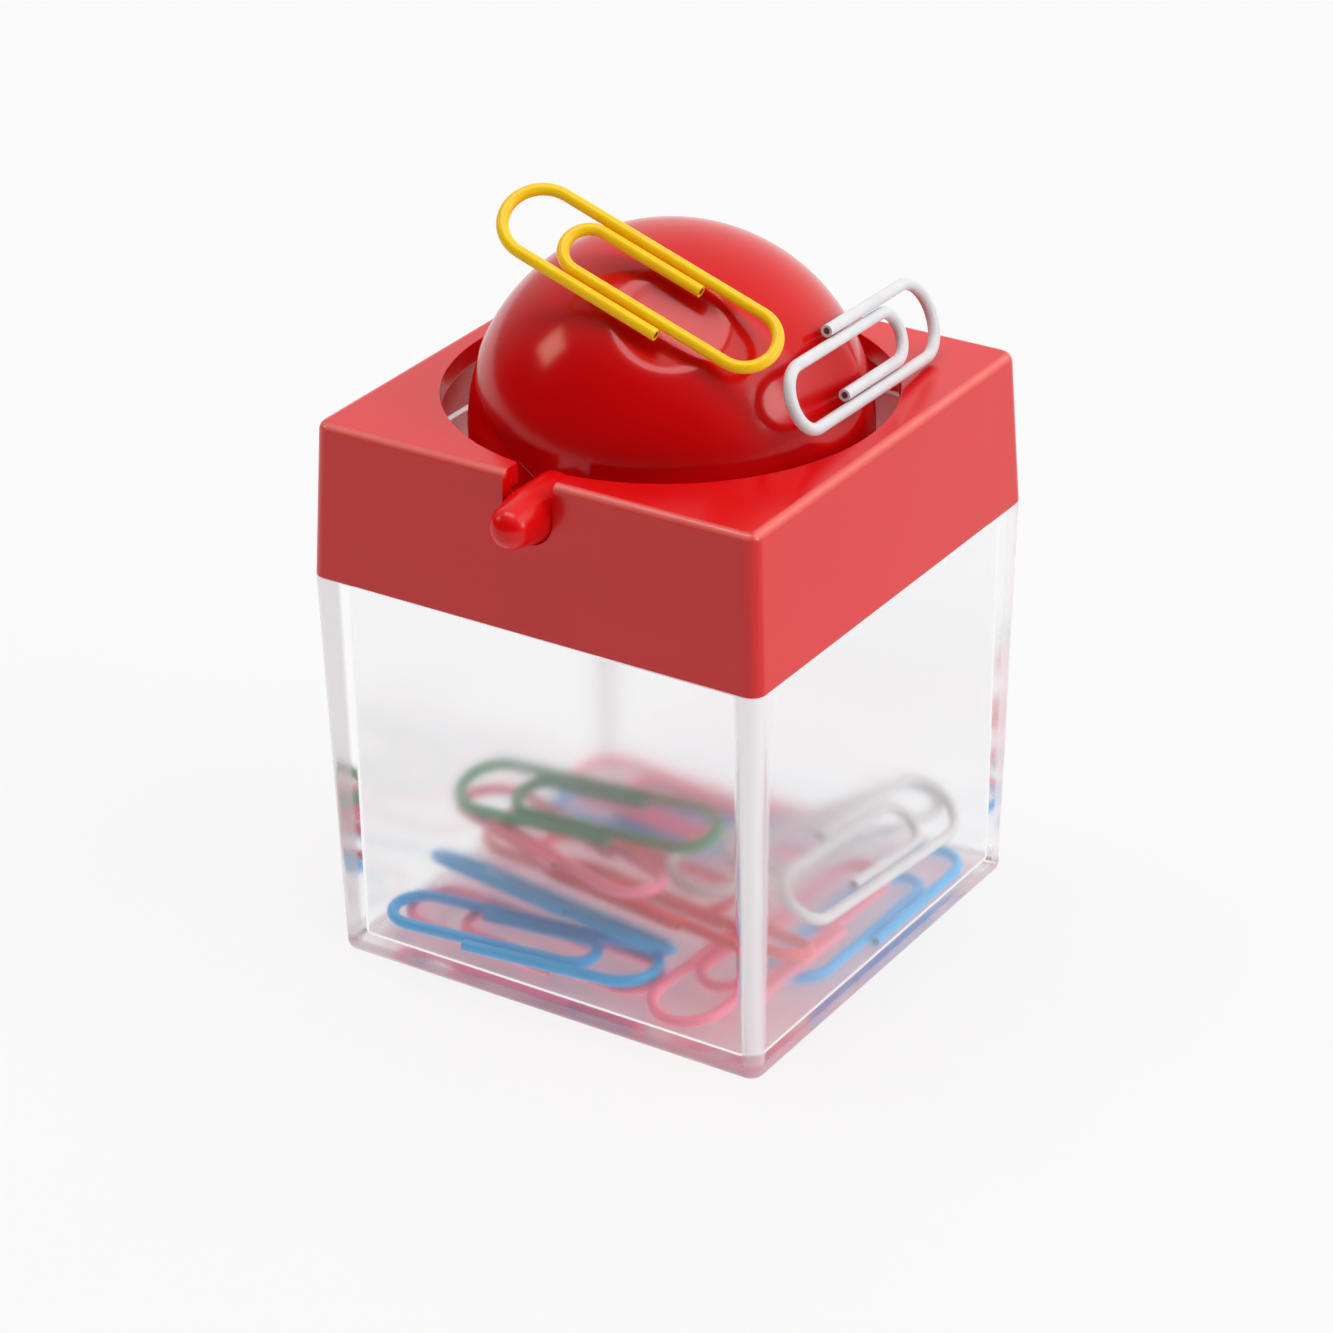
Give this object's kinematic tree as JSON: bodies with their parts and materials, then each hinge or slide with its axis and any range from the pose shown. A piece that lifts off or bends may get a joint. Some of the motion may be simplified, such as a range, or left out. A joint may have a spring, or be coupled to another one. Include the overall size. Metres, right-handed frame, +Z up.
{
  "type": "magnetic paper clip dispenser",
  "caption": "Desk dispenser for paper clips: a clear box under a red lid that carries a turning magnetic ball with a side knob, with coloured wire clips in the box and on the ball.",
  "frame": {"origin": "centre of the box's base, on the surface it stands on", "axes": "+Z up; -Y towards the front face, where the knob is; +X to the right as seen from the front"},
  "size_m": [0.047, 0.0513, 0.0739],
  "materials": {
    "clear_plastic": "clear moulded polystyrene, polished, slightly hazy",
    "red_plastic": "glossy red moulded polystyrene",
    "dark_red_plastic": "glossy darker red moulded polystyrene",
    "knob_plastic": "glossy bright red moulded plastic",
    "magnet": "nickel-plated disc magnet",
    "yellow_coating": "yellow vinyl over steel wire",
    "white_coating": "white vinyl over steel wire",
    "blue_coating": "blue vinyl over steel wire",
    "pink_coating": "pink vinyl over steel wire",
    "green_coating": "green vinyl over steel wire",
    "coral_coating": "coral vinyl over steel wire"
  },
  "bodies": {
    "box": {"clear_box": "clear_plastic", "blue_clip_front": "blue_coating", "blue_clip_leaning": "blue_coating", "blue_clip_right": "blue_coating", "blue_clip_back": "blue_coating", "pink_clip_floor": "pink_coating", "pink_clip_corner": "pink_coating", "pink_clip_upper": "pink_coating", "pink_clip_back": "pink_coating", "green_clip": "green_coating", "coral_clip_low": "coral_coating", "coral_clip_leaning": "coral_coating", "white_clip_middle": "white_coating", "white_clip_right": "white_coating"},
    "lid": {"lid": "red_plastic"},
    "ball": {"ball_cap": "red_plastic", "ball_base": "dark_red_plastic", "knob_pin": "knob_plastic", "rear_pin": "knob_plastic", "top_magnet": "magnet", "side_magnet": "magnet", "bottom_magnet": "magnet", "far_magnet": "magnet"},
    "yellow_clip": {"yellow_clip": "yellow_coating"},
    "white_clip": {"white_clip": "white_coating"}
  },
  "joints": [
    {"name": "lid_lift", "type": "slide", "parent": "box", "child": "lid", "axis": [0, 0, 1], "range_m": [0, 0.03]},
    {"name": "ball_turn", "type": "hinge", "parent": "lid", "child": "ball", "pos_m": [0, 0, 0.0504], "axis": [0, 1, 0], "continuous": true},
    {"name": "yellow_clip_pull", "type": "slide", "parent": "lid", "child": "yellow_clip", "axis": [0.3244, -0.5, 0.803], "range_m": [0, 0.015]},
    {"name": "white_clip_pull", "type": "slide", "parent": "lid", "child": "white_clip", "axis": [0.9108, 0.0872, 0.4036], "range_m": [0, 0.015]}
  ]
}
